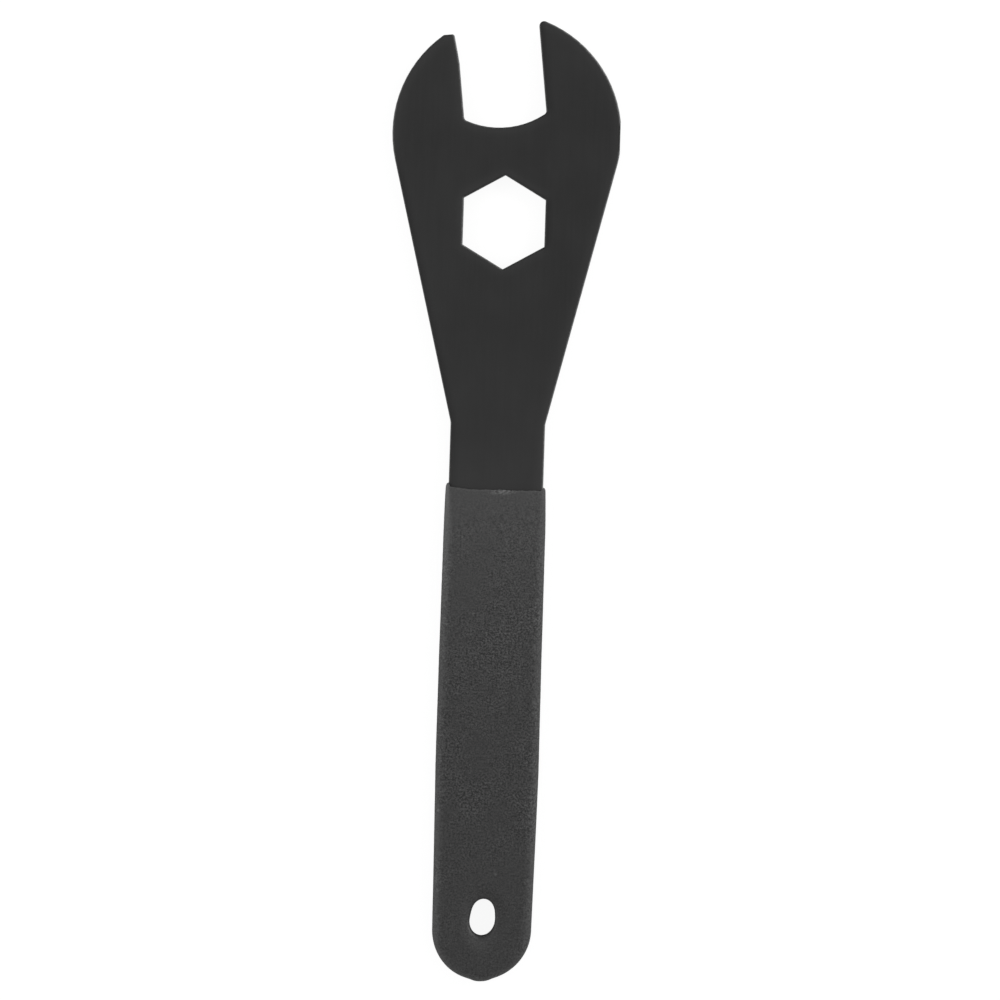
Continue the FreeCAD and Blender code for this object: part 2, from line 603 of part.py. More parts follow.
def make_grip(document, sheet, blade):
    """Make the dipped grip: a rounded sleeve with a hang hole, hollowed by the blade's tang."""
    body = document.addObject("PartDesign::Body", "coat")
    body.Label = "coat"

    side = add_sketch(body, "coat_side_outline", "YZ_Plane")
    draw_coat_side(side, sheet)
    sleeve = body.newObject("PartDesign::Pad", "coat_sleeve")
    sleeve.Profile = side
    sleeve.Midplane = True
    sleeve.setExpression("Length", "1.5 * sizes.shank_width")
    document.recompute()

    plan = add_sketch(body, "coat_plan_outline")
    draw_coat_plan(plan, sheet)
    cut_through(body, "coat_outline_cut", plan)

    def lies_at(edge, place):
        """True where both ends of an edge lie at one place along the handle."""
        return all(abs(vertex.Y - place) < 1e-4 for vertex in edge.Vertexes)

    run_end = sheet.lip_height - sheet.lip_run_on_faces

    def on_long_rim(edge):
        crosses = lies_at(edge, sheet.lip_height) or lies_at(edge, run_end)
        return not is_upright(edge) and not crosses

    room = "min(sizes.coat_edge_round; 0.97 * sizes.lip_thickness / 2)"
    round_edges(body, "coat_edges", on_long_rim, room)
    round_edges(body, "lip_edge", lambda edge: lies_at(edge, sheet.lip_height), "sizes.lip_round")

    hole = add_sketch(body, "hang_hole_outline")
    hole.setExpression("AttachmentOffset.Base.y", "-sizes.hang_hole_depth * 1 mm")
    hole.setExpression("AttachmentOffset.Rotation.Angle", "-sizes.hang_hole_lean * 1 deg")
    draw_hang_hole(hole, sheet)
    cut_through(body, "hang_hole", hole)

    def on_hole_rim(edge):
        box = edge.BoundBox
        inside = box.YLength < 1.2 * sheet.hang_hole_length and box.XLength < 1.2 * sheet.hang_hole_width
        near = abs(box.Center.y + sheet.hang_hole_depth) < sheet.hang_hole_width
        return inside and near and box.ZLength < 1e-3

    round_edges(body, "hang_hole_rims", on_hole_rim, "sizes.hang_hole_round")

    grip = document.addObject("Part::Cut", "grip")
    grip.Label = "grip"
    grip.Base = body
    grip.Tool = blade
    document.recompute()
    return grip


def check_document(document, parts):
    for item in document.Objects:
        if {"Invalid", "Error"} & set(item.State):
            raise RuntimeError("%s failed: %s" % (item.Name, item.State))
    for part in parts:
        if part.Shape.isNull() or not part.Shape.isValid() or len(part.Shape.Solids) != 1:
            raise RuntimeError("%s has no single valid solid" % part.Label)


def main():
    document = FreeCAD.newDocument("cone_wrench")
    sheet = make_sheet(document)
    blade = make_blade(document, sheet)
    grip = make_grip(document, sheet, blade)
    document.recompute()
    parts = [blade, grip]
    check_document(document, parts)
    os.makedirs("parts", exist_ok=True)
    for part in parts:
        part.Shape.exportStep("parts/%s.step" % part.Label)
        box = part.Shape.BoundBox
        size = (part.Label, part.Shape.Volume, box.XLength, box.YLength, box.ZLength)
        print("%s: %.1f mm3, %.3f x %.3f x %.3f mm" % size)


main()
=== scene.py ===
import math

import bmesh
import bpy
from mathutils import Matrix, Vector, noise


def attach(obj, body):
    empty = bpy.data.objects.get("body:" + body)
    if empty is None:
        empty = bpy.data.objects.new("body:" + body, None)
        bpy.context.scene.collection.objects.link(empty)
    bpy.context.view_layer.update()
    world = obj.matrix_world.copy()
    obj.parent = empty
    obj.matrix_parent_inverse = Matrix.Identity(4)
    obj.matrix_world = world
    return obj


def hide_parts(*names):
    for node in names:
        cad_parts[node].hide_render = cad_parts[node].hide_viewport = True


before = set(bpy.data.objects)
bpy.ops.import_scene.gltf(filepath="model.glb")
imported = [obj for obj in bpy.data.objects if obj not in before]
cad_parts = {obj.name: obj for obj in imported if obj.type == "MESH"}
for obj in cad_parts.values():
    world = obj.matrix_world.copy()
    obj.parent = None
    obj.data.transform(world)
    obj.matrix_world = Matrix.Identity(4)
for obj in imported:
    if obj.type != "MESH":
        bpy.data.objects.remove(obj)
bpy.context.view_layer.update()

MM = 0.001

# Dipped grip, in mm: x runs across the blade, y up the handle, z up from the coat's middle plane
COAT = 2.0                # half of the coat's thickness, and the height of its middle plane
LIP = 2.34                # where the coat ends on the blade's faces
JOIN = -75.0              # where the straight sleeve passes into the rounded end
END_CENTER = -89.1        # centre of the rounded end
STEP = 0.3                # spacing of the skin's mesh
ROLL_STEPS = 10           # steps over each rolled edge
FLAT_STEPS = 54           # steps across the flat between them

# Half thickness at the lip, and over what length it grows to the full one
LIP_COAT = 1.45
LIP_COAT_LENGTH = 14.0

# How far in from its outline a face starts to roll over, at the lip and further down, and how squarely
LIP_REACH = 1.3
MORE_REACH = 1.3
REACH_LENGTH = 9.0
SQUARENESS = 2.25

# Half width at the lip, where the lip's narrowing ends, and where the sleeve starts to run into the end
LIP_WIDTH = 10.34
LIP_WIDENING = 0.26
LIP_WIDENING_LENGTH = 8.0
SLEEVE_TOP = -5.6
SLEEVE_TOP_WIDTH = 10.6
SLEEVE_LOW = -56.0
SLEEVE_LOW_WIDTH = 10.76
# What each side adds to that, and the slow wave along both
SIDE_EXTRA = {1: -0.02, -1: 0.05}
SIDE_WAVE, SIDE_WAVE_LENGTH = 0.03, 11.0

# Rounded end: a fuller left shoulder and a small drip at the bottom
END_RADIUS = 10.28
END_SKEW = 0.05
SHOULDER = 0.53
SHOULDER_TURN = -26
SHOULDER_SPREADS = (49.0, 58.0)
DRIP = 0.307
DRIP_SPREAD = 10.8
DRIP_SQUARENESS = 3.5
END_STEPS = 108

# Hang hole: its centre, the rounding of its rims, and its radius as waves round the centre
HOLE = (0.0, -86.78)
RIM = 0.75
HOLE_WAVES = ((0, 3.218, 0.0), (2, -0.641, 0.124), (3, 0.0, -0.07), (4, 0.035, -0.022))
# Share of the way from the hole to the outline that takes the wide steps
INNER_SHARE = 0.77

# Lip: how it rolls over, and the blade's sides and faces that it runs in to
LIP_ROLL = 0.35
LIP_DROP = 0.3
LIP_LEAN = 0.12
TUCK_WIDTH = 9.6
TUCK_HEIGHT = 0.8
BLADE_WIDTH = 9.85
BLADE_HEIGHT = 1.0

# Lip's raggedness: height, waves to the mm and place in the noise, then the same for the very edge alone
RAGGED = ((0.2, 0.45, 3.0), (0.14, 1.7, 7.0))
EDGE_RAGGED = (0.16, 2.7, 11.0)

# Skin: height of its slow unevenness and of its grain, and the waves to the mm of each
UNEVEN, UNEVEN_WAVES = 0.05, 0.11
GRAIN, GRAIN_WAVES = 0.016, 1.35
FINE_SHARE, FINE_WAVES = 0.6, 2.6

# How much higher the lip stands at places across the blade: it creeps up both of the blade's sides
LIP_RISE = (
    (-10.6, 0.85), (-10.3, 1.05), (-10.06, 1.15), (-9.85, 1.25), (-9.65, 0.8), (-9.45, 0.35),
    (-8.1, 0.32), (-6.9, 0.13), (-5.0, 0.0), (9.0, 0.04), (9.45, 0.15), (9.65, 0.45),
    (9.85, 0.8), (10.06, 0.65), (10.4, 0.45), (10.6, 0.4))


def smooth(low, high, value):
    """An even step from 0 to 1 between two values."""
    t = min(max((value - low) / (high - low), 0.0), 1.0)
    return t * t * (3 - 2 * t)


def clamp(value, low, high):
    return min(max(value, low), high)


def end_radius(turn):
    """Radius of the rounded end, by degrees from straight down."""
    away = turn - SHOULDER_TURN
    spread = SHOULDER_SPREADS[0] if away < 0 else SHOULDER_SPREADS[1]
    shoulder = SHOULDER * math.exp(-(away / spread) ** 2)
    drip = DRIP * math.exp(-abs(turn / DRIP_SPREAD) ** DRIP_SQUARENESS)
    return END_RADIUS - END_SKEW * math.sin(math.radians(turn)) + shoulder + drip


def half_width(y, side):
    """The coat's reach to the right (side 1) or left (side -1) at a height along the handle."""
    wave = SIDE_WAVE * math.sin(y / SIDE_WAVE_LENGTH + 1.5 * side)
    wave *= smooth(0.0, -8.0, y) * smooth(-89.0, -80.0, y)
    more = SIDE_EXTRA[side]
    if y > SLEEVE_TOP:
        growth = math.sqrt(clamp((LIP - y) / LIP_WIDENING_LENGTH, 0.0, 1.0))
        return LIP_WIDTH + LIP_WIDENING * growth + more + wave
    if y > SLEEVE_LOW:
        t = (SLEEVE_TOP - y) / (SLEEVE_TOP - SLEEVE_LOW)
        return SLEEVE_TOP_WIDTH + (SLEEVE_LOW_WIDTH - SLEEVE_TOP_WIDTH) * t + more + wave
    t = (SLEEVE_LOW - y) / (SLEEVE_LOW - END_CENTER)
    start = SLEEVE_LOW_WIDTH + more
    return start + (end_radius(90.0 * side) - start) * t + wave


def inside(x, y):
    """How far a point lies inside the coat's outline."""
    if y >= END_CENTER:
        return half_width(y, 1 if x > 0 else -1) - abs(x)
    turn = math.degrees(math.atan2(x, END_CENTER - y))
    return end_radius(turn) - math.hypot(x, y - END_CENTER)


def lip_rise(x):
    """The lip's extra height at a place across the blade, between the places of the table."""
    x = clamp(x, LIP_RISE[0][0], LIP_RISE[-1][0])
    for (low, first), (high, second) in zip(LIP_RISE, LIP_RISE[1:]):
        if x <= high:
            return first + (second - first) * (x - low) / (high - low)


def half_thickness(y):
    t = clamp((LIP - y) / LIP_COAT_LENGTH, 0.0, 1.0)
    return LIP_COAT + (COAT - LIP_COAT) * (1 - (1 - t) ** 2)


def edge_reach(y):
    """How far in from its outline the coat's face starts to roll over."""
    return LIP_REACH + MORE_REACH * smooth(LIP, LIP - REACH_LENGTH, y)


def face_height(x, y):
    """Height of the coat's skin above its middle plane."""
    t = clamp(inside(x, y) / edge_reach(y), 0.0, 1.0)
    return half_thickness(y) * max(1 - (1 - t) ** SQUARENESS, 0.0) ** (1 / SQUARENESS)


def hole_edge(angle):
    """A point on the hang hole's edge: a leaning oval, fuller at its lower left."""
    r = sum(a * math.cos(n * angle) + b * math.sin(n * angle) for n, a, b in HOLE_WAVES)
    return Vector((HOLE[0] + r * math.cos(angle), HOLE[1] + r * math.sin(angle)))


def hole_point(angle, out=0.0):
    """A point on the hang hole's edge, or a distance outside it."""
    along = (hole_edge(angle + 0.01) - hole_edge(angle - 0.01)).normalized()
    return hole_edge(angle) + out * Vector((along.y, -along.x))


def columns(y):
    """Places across the sleeve at a height, close together where its sides roll over."""
    reach = edge_reach(y)
    right, left = half_width(y, 1), half_width(y, -1)
    roll = [reach * (1 - math.cos(math.radians(90 * k / ROLL_STEPS))) for k in range(ROLL_STEPS)]
    flat = right + left - 2 * reach
    across = [right - reach - flat * k / FLAT_STEPS for k in range(FLAT_STEPS + 1)]
    return [right - d for d in roll] + across + [d - left for d in reversed(roll)]


def outer_loop():
    """The end patch's outer line: down the right side, round the end, up the left, and back across."""
    count = int((JOIN - END_CENTER) / STEP)
    heights = [JOIN + (END_CENTER - JOIN) * k / count for k in range(count + 1)]
    loop = [(half_width(y, 1), y) for y in heights[:-1]]
    for k in range(END_STEPS):
        turn = 90 - 180 * k / END_STEPS
        r = end_radius(turn)
        a = math.radians(turn)
        loop.append((r * math.sin(a), END_CENTER - r * math.cos(a)))
    loop += [(-half_width(y, -1), y) for y in reversed(heights[1:])]
    loop += [(x, JOIN) for x in reversed(columns(JOIN))][:-1]
    return loop


def sleeve_rows():
    """Rows along the handle, each from the right outline over the top to the left one."""
    top = LIP - LIP_ROLL
    count = int((top - JOIN) / STEP)
    places = [JOIN + (top - JOIN) * k / count for k in range(count + 1)]
    return [[(x, y, face_height(x, y)) for x in columns(y)] for y in places]


def lip_rows():
    """Rows that roll over the lip, then run in to the blade's face and sides."""
    rows = []
    for k in range(1, 6):
        a = math.radians(90 * k / 5)
        y = LIP - LIP_ROLL + LIP_ROLL * math.sin(a)
        drop = LIP_DROP * (1 - math.cos(a))
        row = []
        for x in columns(LIP):
            z = face_height(x, LIP)
            lean = x * LIP_LEAN
            size = math.hypot(lean, z)
            row.append((x - drop * lean / size, y, z - drop * z / size))
        rows.append(row)
    last = rows[-1]
    for k in (1, 2, 3):
        t = k / 3
        row = []
        for x, y, z in last:
            inner_x = clamp(x, -TUCK_WIDTH, TUCK_WIDTH)
            inner_z = min(z, TUCK_HEIGHT)
            row.append((x + (inner_x - x) * t, y, z + (inner_z - z) * t))
        rows.append(row)
    return rows


def end_spoke(x, y):
    """Points from the hang hole's wall, over its rim, and out to a point of the outline."""
    angle = math.atan2(y - HOLE[1], x - HOLE[0])
    spoke = []
    for k in range(4):
        wall = hole_point(angle)
        spoke.append((wall.x, wall.y, (COAT - RIM) * k / 4))
    for k in range(7):
        a = math.radians(90 * k / 6)
        rim = hole_point(angle, RIM * (1 - math.cos(a)))
        spoke.append((rim.x, rim.y, COAT - RIM + RIM * math.sin(a)))
    start = hole_point(angle, RIM)
    top = half_thickness(y)
    shares = [INNER_SHARE * k / 21 for k in range(1, 22)]
    shares += [INNER_SHARE + (1 - INNER_SHARE) * math.sin(math.radians(9 * k)) for k in range(1, 10)]
    for t in shares:
        px = start.x + (x - start.x) * t
        py = start.y + (y - start.y) * t
        spoke.append((px, py, min(face_height(px, py), top)))
    spoke.append((x, y, min(face_height(x, y), top)))
    return spoke


def ragged_wave(x, side, form):
    height, waves, place = form
    return height * noise.noise(Vector((x * waves, side, place)))


def raise_lip(bm):
    """Draw the lip up at both corners, most at the left one, and make it a little ragged."""
    for vert in bm.verts:
        x, y, z = vert.co
        share = smooth(-7.0, LIP, y)
        if share > 0:
            side = 4.0 * smooth(1.0, -1.0, z)
            ragged = sum(ragged_wave(x, side, form) for form in RAGGED)
            ragged += smooth(1.2, LIP, y) * ragged_wave(x, side, EDGE_RAGGED)
            vert.co.y += share * (lip_rise(x) + ragged)


def roughen(bm):
    """Give the skin the slow unevenness of a dipped coat, then its grain."""
    moves = []
    for vert in bm.verts:
        p = vert.co
        slow = UNEVEN * noise.noise(Vector((p.x * UNEVEN_WAVES, p.y * UNEVEN_WAVES, p.z * 0.2 + 5.0)))
        grain = noise.noise(p * GRAIN_WAVES)
        grain += FINE_SHARE * noise.noise(p * FINE_WAVES + Vector((9.0, 0.0, 0.0)))
        rough = GRAIN * (1.15 - 0.35 * smooth(0.0, -95.0, p.y))
        in_blade = p.y > LIP - 0.5 and abs(p.z) < BLADE_HEIGHT and abs(p.x) < BLADE_WIDTH
        flat = abs(vert.normal.z)
        amount = 0.0 if in_blade else slow * (0.4 + 0.6 * flat) + rough * grain
        moves.append(vert.normal * amount)
    for vert, move in zip(bm.verts, moves):
        vert.co += move


def make_grip():
    """The whole coat as one closed skin, resting on the floor."""
    bm = bmesh.new()
    grid = [[bm.verts.new(p) for p in row] for row in sleeve_rows() + lip_rows()]
    for low, high in zip(grid, grid[1:]):
        for i in range(len(low) - 1):
            bm.faces.new((low[i], high[i], high[i + 1], low[i + 1]))
    spokes = [[bm.verts.new(p) for p in end_spoke(x, y)] for x, y in outer_loop()]
    for a, b in zip(spokes, spokes[1:] + spokes[:1]):
        for k in range(len(a) - 1):
            bm.faces.new((a[k], a[k + 1], b[k + 1], b[k]))

    # Underside: the same skin turned over, then both halves joined along the outline
    bmesh.ops.remove_doubles(bm, verts=bm.verts, dist=1e-4)
    copy = bmesh.ops.duplicate(bm, geom=bm.verts[:] + bm.edges[:] + bm.faces[:])
    for item in copy["geom"]:
        if isinstance(item, bmesh.types.BMVert):
            item.co.z = -item.co.z
    bmesh.ops.remove_doubles(bm, verts=bm.verts, dist=1e-4)
    bmesh.ops.recalc_face_normals(bm, faces=bm.faces)
    bm.normal_update()

    raise_lip(bm)
    roughen(bm)
    for vert in bm.verts:
        vert.co.z = max(vert.co.z + COAT, 0.0)
        vert.co *= MM
    mesh = bpy.data.meshes.new("dipped_grip")
    bm.to_mesh(mesh)
    bm.free()
    for face in mesh.polygons:
        face.use_smooth = True
    piece = bpy.data.objects.new("dipped_grip", mesh)
    bpy.context.scene.collection.objects.link(piece)
    return piece


class Tree:
    """A material's nodes, added one call at a time."""

    def __init__(self, name):
        self.material = bpy.data.materials.new(name)
        self.material.use_nodes = True
        self.nodes = self.material.node_tree.nodes
        self.links = self.material.node_tree.links
        self.shader = self.nodes["Principled BSDF"]

    def put(self, socket, value):
        if hasattr(value, "is_output"):
            self.links.new(value, socket)
        else:
            socket.default_value = value

    def add(self, kind, inputs, **settings):
        node = self.nodes.new(kind)
        for name, value in settings.items():
            setattr(node, name, value)
        for name, value in inputs.items():
            self.put(node.inputs[name], value)
        return node

    def math(self, operation, first, second=0.0, third=0.0):
        values = {0: first, 1: second, 2: third}
        return self.add("ShaderNodeMath", values, operation=operation).outputs[0]

    def plus(self, first, second):
        return self.math("ADD", first, second)

    def minus(self, first, second):
        return self.math("SUBTRACT", first, second)

    def times(self, first, second):
        return self.math("MULTIPLY", first, second)

    def blend(self, value, factor, more):
        """A value times a factor, plus more."""
        return self.math("MULTIPLY_ADD", value, factor, more)

    def size(self, value):
        return self.math("ABSOLUTE", value)

    def length(self, across, along):
        return self.math("SQRT", self.blend(across, across, self.times(along, along)))

    def spread(self, value, low, high, to_low=0.0, to_high=1.0):
        """A value's place between two others, carried over to another pair."""
        values = {"Value": value, "From Min": low, "From Max": high, "To Min": to_low, "To Max": to_high}
        return self.add("ShaderNodeMapRange", values).outputs[0]

    def vector(self, operation, first, second=(0.0, 0.0, 0.0), output=0):
        values = {0: first, 1: second}
        return self.add("ShaderNodeVectorMath", values, operation=operation).outputs[output]

    def parts(self, vector):
        return self.add("ShaderNodeSeparateXYZ", {0: vector}).outputs

    def place(self, scale=(1, 1, 1)):
        """Object coordinates in millimetres, stretched."""
        coords = self.add("ShaderNodeTexCoord", {}).outputs["Object"]
        return self.vector("MULTIPLY", coords, tuple(1000.0 * s for s in scale))

    def noise(self, place, scale, detail, rough):
        values = {"Vector": place, "Scale": scale, "Detail": detail, "Roughness": rough}
        return self.add("ShaderNodeTexNoise", values).outputs["Fac"]

    def cells(self, place, scale):
        node = self.add("ShaderNodeTexVoronoi", {"Vector": place, "Scale": scale})
        return node.outputs["Distance"], node.outputs["Color"]

    def grey(self, value):
        return self.add("ShaderNodeCombineColor", {0: value, 1: value, 2: value}).outputs[0]

    def bump(self, height, distance, strength, normal=None):
        values = {"Height": height, "Distance": distance, "Strength": strength}
        if normal is not None:
            values["Normal"] = normal
        return self.add("ShaderNodeBump", values).outputs[0]

    def bevel(self, radius):
        """The normal as it would be if every edge were rounded, and its parts across and along."""
        normal = self.add("ShaderNodeBevel", {"Radius": radius}, samples=6).outputs[0]
        across, along, _ = self.parts(normal)
        return normal, across, along

    def left_share(self, across, along):
        """How squarely a rounded normal faces left."""
        return self.minus(self.times(self.size(along), -0.5), across)

    def geometry(self, output):
        return self.add("ShaderNodeNewGeometry", {}).outputs[output]

    def upright(self):
        """How level the surface is: 1 on a face, 0 on a wall."""
        return self.size(self.parts(self.geometry("True Normal"))[2])


# Blade's paint: how pale it is at places along the handle, and how much each pattern adds
HEAD_TONE, SHANK_TONE = 0.0103, 0.0134
LIP_TONE = 0.0055
LINES, BLOTCHES, SPECKS = 0.0045, 0.009, 0.002
WORN_BREAK = 0.004

# Painted highlights and painted shade along the blade's rims, seen on the faces: radius of each
# rounding, in m, and strength of each line
CLOSE_RIM, BROAD_RIM = 0.0009, 0.0032
HIGHLIGHT_LINE = 0.168
THIN_HIGHLIGHT_LINE, MORE_HIGHLIGHT_ON_ARC = 0.066, 0.06
EDGE_SHADE = 0.02
PALE_HIGHLIGHT_BORDER, DARK_SHADE_BORDER = 0.0078, 0.017
ROUNDED_SHARE = 0.25

# Small flat ground on the head's right side, in mm
GROUND_FLAT_Y = 76.3
GROUND_FLAT_HALF = 3.1


def rim_highlights_and_shade(t, across, along, level, chip_and_glint_noise, rounded):
    """Painted highlights and painted shade that the rims add to the blade's faces, as a light from the
    upper right would give them.
    """
    facing_x, facing_y = rounded
    _, broad_x, broad_y = t.bevel(BROAD_RIM)
    left_arc = t.math("MINIMUM", t.spread(along, 66.0, 76.0), t.spread(across, -12.0, -16.0))
    ground = t.times(t.spread(across, 22.0, 23.0),
                     t.spread(t.size(t.minus(along, GROUND_FLAT_Y)), GROUND_FLAT_HALF, 2.4))

    # Painted highlight line where a rim faces right, apart from the ground flat, and a thin painted
    # highlight where it faces left
    highlight = t.spread(t.blend(facing_y, 0.48, facing_x), 0.3, 0.7, 0.0, HIGHLIGHT_LINE)
    highlight = t.times(highlight, t.minus(1.0, ground))
    thin_highlight = t.spread(t.left_share(facing_x, facing_y), 0.35, 0.65)
    thin_highlight = t.times(thin_highlight, t.blend(left_arc, MORE_HIGHLIGHT_ON_ARC, THIN_HIGHLIGHT_LINE))
    rims = t.times(t.plus(highlight, thin_highlight), t.spread(chip_and_glint_noise, 0.0, 1.0, 0.7, 1.15))

    # Painted shade at the very edge, inside it a soft painted highlight border, and a painted shade
    # border where the rim faces left
    rims = t.minus(rims, t.spread(t.length(facing_x, facing_y), 0.3, 0.55, 0.0, EDGE_SHADE))
    rims = t.plus(rims, t.spread(t.length(broad_x, broad_y), 0.0, 0.36, 0.0, PALE_HIGHLIGHT_BORDER))
    dark = t.spread(t.left_share(broad_x, broad_y), 0.1, 0.42, 0.0, DARK_SHADE_BORDER)
    rims = t.minus(rims, t.times(dark, t.minus(1.0, left_arc)))
    return t.times(rims, t.spread(level, 0.5, 0.7))


def blade_material():
    """Satin black paint on a stamped plate: faint drawn lines, wear on the broken edges, and painted
    highlights and shade along the rims.
    """
    t = Tree("blade_paint")
    place = t.place()
    across, along, _ = t.parts(place)
    level = t.upright()
    lines = t.noise(t.place((1.0, 0.035, 1.0)), 2.2, 3.0, 0.6)
    blotches = t.noise(place, 0.06, 3.0, 0.55)
    specks = t.noise(place, 3.2, 2.0, 0.6)
    tone = t.blend(across, -0.00006, t.spread(along, 45.0, 5.0, HEAD_TONE, SHANK_TONE))
    tone = t.plus(tone, t.spread(along, 13.0, 3.0, 0.0, LIP_TONE))
    tone = t.blend(lines, LINES, tone)
    tone = t.blend(blotches, BLOTCHES, tone)
    tone = t.blend(specks, SPECKS, tone)

    # Wear on the broken edges, which lie between face and wall
    broken = t.times(t.spread(level, 0.35, 0.6), t.spread(level, 0.97, 0.85))
    chip_and_glint_noise = t.spread(t.noise(place, 0.9, 4.0, 0.7), 0.42, 0.62)
    tone = t.blend(t.times(broken, t.blend(chip_and_glint_noise, 0.75, 0.25)), WORN_BREAK, tone)
    rounded, facing_x, facing_y = t.bevel(CLOSE_RIM)
    # Painted highlights and painted shade along the rims, varied by the chip noise
    tone = t.plus(tone, rim_highlights_and_shade(t, across, along, level, chip_and_glint_noise, (facing_x, facing_y)))
    t.put(t.shader.inputs["Base Color"], t.grey(tone))
    rough = t.blend(lines, 0.06, t.blend(blotches, 0.12, 0.4))
    t.put(t.shader.inputs["Roughness"], rough)
    t.put(t.shader.inputs["Specular IOR Level"], 0.4)

    # Slightly rounded edges, the paint's fine peel, and upright shear marks on the walls
    wall = t.spread(level, 0.5, 0.1)
    sheared = t.times(t.noise(t.place((1.0, 1.0, 0.12)), 3.5, 3.0, 0.6), wall)
    peel = t.plus(t.noise(place, 1.6, 2.0, 0.5), t.times(lines, 0.5))
    mixed = t.add("ShaderNodeMix", {4: t.geometry("Normal"), 5: rounded}, data_type="VECTOR")
    mixed.inputs[0].default_value = ROUNDED_SHARE
    normal = t.bump(peel, 0.00001, 1.0, t.vector("NORMALIZE", mixed.outputs[1]))
    t.put(t.shader.inputs["Normal"], t.bump(sheared, 0.00006, 1.0, normal))
    return t.material


# Grip's rubber: how pale it is towards the end, towards the middle, and how much more at the lip
END_TONE, MIDDLE_TONE, MORE_AT_LIP = 0.0298, 0.0322, 0.0156
DOTS = 0.03
# Strength of the painted highlight on the lip
LIP_HIGHLIGHT = 0.09
# Half sizes of the hang hole, in mm, and the direction in which the painted highlight on its surround is
# strongest
HOLE_SIZES = (2.62, 3.86)
HOLE_LIGHT_AIM = (-0.64, -0.77, 0.0)


def grip_mottle(t, along, place, fine, pits):
    """The coat's mottle as a factor round 1: weaker towards both ends, and in patches."""
    coarse = t.noise(place, 0.55, 2.0, 0.5)
    contrast = t.spread(along, -97.0, -62.0, 0.46, 1.0)
    contrast = t.times(contrast, t.spread(along, 2.0, -28.0, 0.32, 1.0))
    patches = t.spread(t.noise(place, 0.11, 2.0, 0.5), 0.35, 0.65, 0.55, 1.4)
    contrast = t.times(contrast, patches)
    mottle = t.blend(t.minus(fine, 0.5), 5.8, 1.05)
    mottle = t.blend(t.minus(coarse, 0.5), 0.7, mottle)
    mottle = t.blend(pits, -0.22, mottle)
    mottle = t.blend(t.minus(mottle, 1.0), contrast, 1.0)
    return t.math("MAXIMUM", mottle, 0.3)


def hole_tones(t, place):
    """Round the hang hole: a dark inner rim, then painted light and shade on the surround, palest at its
    lower left and darkest at its upper right.
    """
    from_hole = t.vector("SUBTRACT", place, (HOLE[0], HOLE[1], 0.0))
    from_hole = t.vector("MULTIPLY", from_hole, (1 / HOLE_SIZES[0], 1 / HOLE_SIZES[1], 0.0))
    ring = t.vector("LENGTH", from_hole, output=1)
    aim = t.vector("DOT_PRODUCT", t.vector("NORMALIZE", from_hole), HOLE_LIGHT_AIM, output=1)
    surround = t.times(t.spread(ring, 1.0, 1.3), t.spread(ring, 2.0, 1.45))
    surround_light = t.times(surround, t.blend(aim, 0.3, 0.1))
    return t.plus(surround_light, t.spread(ring, 1.2, 1.08, 1.0, 0.55))


def side_light_and_shade(t, along):
    """Painted highlights on the rolled sides: both paler towards the end, and near the lip the left one
    paler and the right one a little darker.
    """
    facing = t.spread(t.parts(t.geometry("True Normal"))[0], -0.5, 0.5, 1.0, -1.0)
    edge = t.size(facing)
    near_lip = t.spread(along, -35.0, 2.0)
    paler = t.times(near_lip, t.blend(facing, 0.33, t.times(edge, 0.17)))
    paler = t.blend(t.times(edge, t.spread(along, -45.0, -70.0)), 0.13, paler)
    return t.plus(paler, 1.0)


def grip_material():
    """Dipped rubber coat: matt, finely mottled, with pits and a few pale specks, and painted highlights
    and shade on its lip, sides and round the hang hole.
    """
    t = Tree("grip_rubber")
    place = t.place()
    across, along, _ = t.parts(place)
    fine = t.noise(place, 2.5, 2.0, 0.8)
    pit_distance, _ = t.cells(place, 1.1)
    pits = t.spread(pit_distance, 0.28, 0.08)
    to_lip = t.spread(along, -58.0, 2.0)
    base = t.spread(along, -100.0, -58.0, END_TONE, MIDDLE_TONE)
    base = t.blend(t.times(to_lip, to_lip), MORE_AT_LIP, base)
    tone = t.times(base, grip_mottle(t, along, place, fine, pits))

    # Pale specks, in some of the cells only
    speck_distance, colors = t.cells(place, 0.32)
    red = t.add("ShaderNodeSeparateColor", {0: colors}).outputs[0]
    chosen = t.math("GREATER_THAN", red, 0.72)
    tone = t.blend(t.times(t.spread(speck_distance, 0.13, 0.05), chosen), DOTS, tone)

    # Painted highlight in a patch along part of the lip, where its rounded edge catches the light
    near = t.spread(t.size(t.minus(across, 1.5)), 3.3, 1.2)
    near = t.times(near, t.spread(along, 1.2, 2.0))
    lip_highlight = t.times(near, t.spread(t.noise(place, 2.4, 2.0, 0.7), 0.42, 0.66))
    tone = t.blend(lip_highlight, LIP_HIGHLIGHT, tone)

    # Painted light and shade round the hang hole
    tone = t.times(tone, hole_tones(t, place))
    # Painted highlights and shade on the rolled sides
    tone = t.times(tone, side_light_and_shade(t, along))
    level = t.upright()
    # Painted shade on the steep walls round the outline, darkest where the coat stands upright
    tone = t.times(tone, t.spread(level, 0.0, 0.45, 0.45, 1.0))
    t.put(t.shader.inputs["Base Color"], t.grey(tone))
    t.put(t.shader.inputs["Specular IOR Level"], 0.4)
    rough = t.blend(fine, 0.2, 0.52)
    t.put(t.shader.inputs["Roughness"], t.blend(t.spread(level, 0.5, 0.1), 0.25, rough))
    t.put(t.shader.inputs["Normal"], t.bump(t.blend(pits, -0.5, fine), 0.00005, 0.8))
    return t.material


# Floor: its colour, its colour and glow for the camera, and its glow in mirrors and glass
FLOOR_COLOR = 0.75
CAMERA_COLOR = 0.15
CAMERA_GLOW = 0.91
MIRRORED_GLOW = 0.25


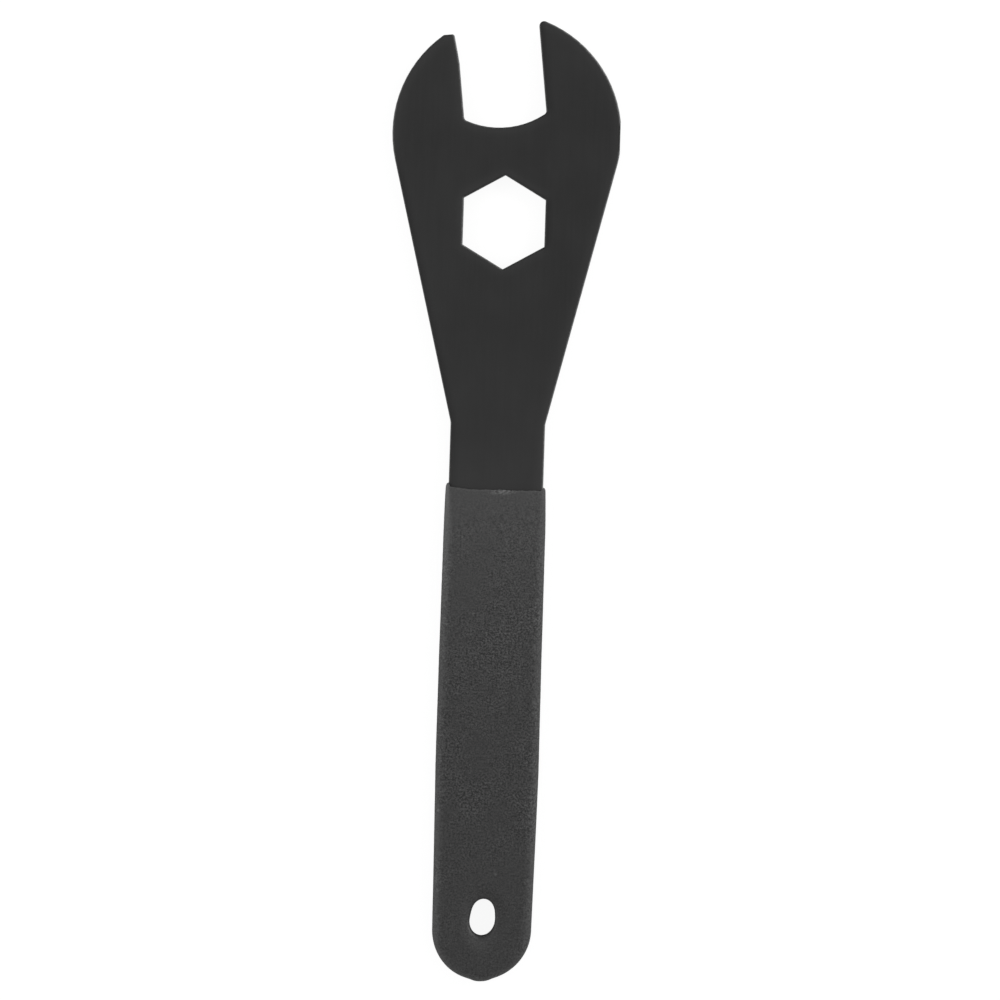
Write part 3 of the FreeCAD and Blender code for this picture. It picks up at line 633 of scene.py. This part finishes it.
def floor_material():
    """A white floor that takes the object's soft shadow."""
    t = Tree("floor_white")
    paths = t.add("ShaderNodeLightPath", {}).outputs
    seen = paths["Is Camera Ray"]
    mirrored = t.math("MAXIMUM", paths["Is Glossy Ray"], paths["Is Transmission Ray"])
    strength = t.blend(seen, CAMERA_GLOW, t.times(mirrored, MIRRORED_GLOW))
    color = t.grey(t.blend(seen, CAMERA_COLOR - FLOOR_COLOR, FLOOR_COLOR))
    white = t.add("ShaderNodeBsdfDiffuse", {"Color": color})
    glow = t.add("ShaderNodeEmission", {"Strength": strength})
    both = t.add("ShaderNodeAddShader", {0: white.outputs[0], 1: glow.outputs[0]})
    t.put(t.nodes["Material Output"].inputs["Surface"], both.outputs[0])
    return t.material


# Object: the CAD's own blade, and the coat in place of the CAD's grip
paint = blade_material()
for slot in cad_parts["blade"].material_slots:
    slot.material = paint

grip = make_grip()
grip.data.materials.append(grip_material())
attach(grip, "root")
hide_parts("grip")

# Floor, a hair below the object so that the two don't share a plane
FLOOR_REACH = 3
FLOOR_GAP = 0.00002
corners = [(-FLOOR_REACH, -FLOOR_REACH, 0), (FLOOR_REACH, -FLOOR_REACH, 0),
           (FLOOR_REACH, FLOOR_REACH, 0), (-FLOOR_REACH, FLOOR_REACH, 0)]
floor_mesh = bpy.data.meshes.new("floor")
floor_mesh.from_pydata(corners, [], [(0, 1, 2, 3)])
floor = bpy.data.objects.new("floor", floor_mesh)
floor.location.z = -FLOOR_GAP
bpy.context.scene.collection.objects.link(floor)
floor.data.materials.append(floor_material())

# World: white all round up to a low height, then darker towards the top
FADE = {"From Min": 0.25, "From Max": 1.0, "To Min": 1.0, "To Max": 0.2}
world = bpy.data.worlds.new("studio")
bpy.context.scene.world = world
world.use_nodes = True
sky = world.node_tree
direction = sky.nodes.new("ShaderNodeTexCoord")
split = sky.nodes.new("ShaderNodeSeparateXYZ")
fade = sky.nodes.new("ShaderNodeMapRange")
for name, value in FADE.items():
    fade.inputs[name].default_value = value
shade = sky.nodes.new("ShaderNodeCombineColor")
sky.links.new(direction.outputs["Generated"], split.inputs[0])
sky.links.new(split.outputs[2], fade.inputs["Value"])
for channel in range(3):
    sky.links.new(fade.outputs[0], shade.inputs[channel])
sky.links.new(shade.outputs[0], sky.nodes["Background"].inputs["Color"])


def softbox(name, place, width, height, power):
    """A rectangular lamp at a place, turned to the middle of the object."""
    lamp = bpy.data.lights.new(name, "AREA")
    lamp.shape = "RECTANGLE"
    lamp.size = width
    lamp.size_y = height
    lamp.energy = power
    item = bpy.data.objects.new(name, lamp)
    item.location = place
    item.rotation_mode = "QUATERNION"
    item.rotation_quaternion = (-Vector(place)).to_track_quat("-Z", "Y")
    item.visible_camera = False
    bpy.context.scene.collection.objects.link(item)


softbox("light_right", (0.95, 0.5, 0.5), 0.7, 0.6, 6.5)
softbox("light_left", (-1.0, 0.1, 0.5), 0.8, 0.7, 5.0)
softbox("light_edge", (0.85, 0.6, 0.16), 0.5, 0.14, 2.5)

# Camera: straight above, so far up that the frame spans the photograph's width at the blade's face
LEAN = math.radians(1.79)
SPAN = 0.2082
FACE_HEIGHT = 0.003
LENS, SENSOR = 135, 36
VIEW_CENTER = (0.00094, 0.00028)
lens = bpy.data.cameras.new("camera")
lens.lens = LENS
lens.sensor_width = SENSOR
lens.clip_start = 0.01
camera = bpy.data.objects.new("camera", lens)
camera.location = (*VIEW_CENTER, FACE_HEIGHT + SPAN / (SENSOR / LENS))
camera.rotation_euler = (0, 0, LEAN)
bpy.context.scene.collection.objects.link(camera)
bpy.context.scene.camera = camera
bpy.context.scene.view_settings.view_transform = "Standard"
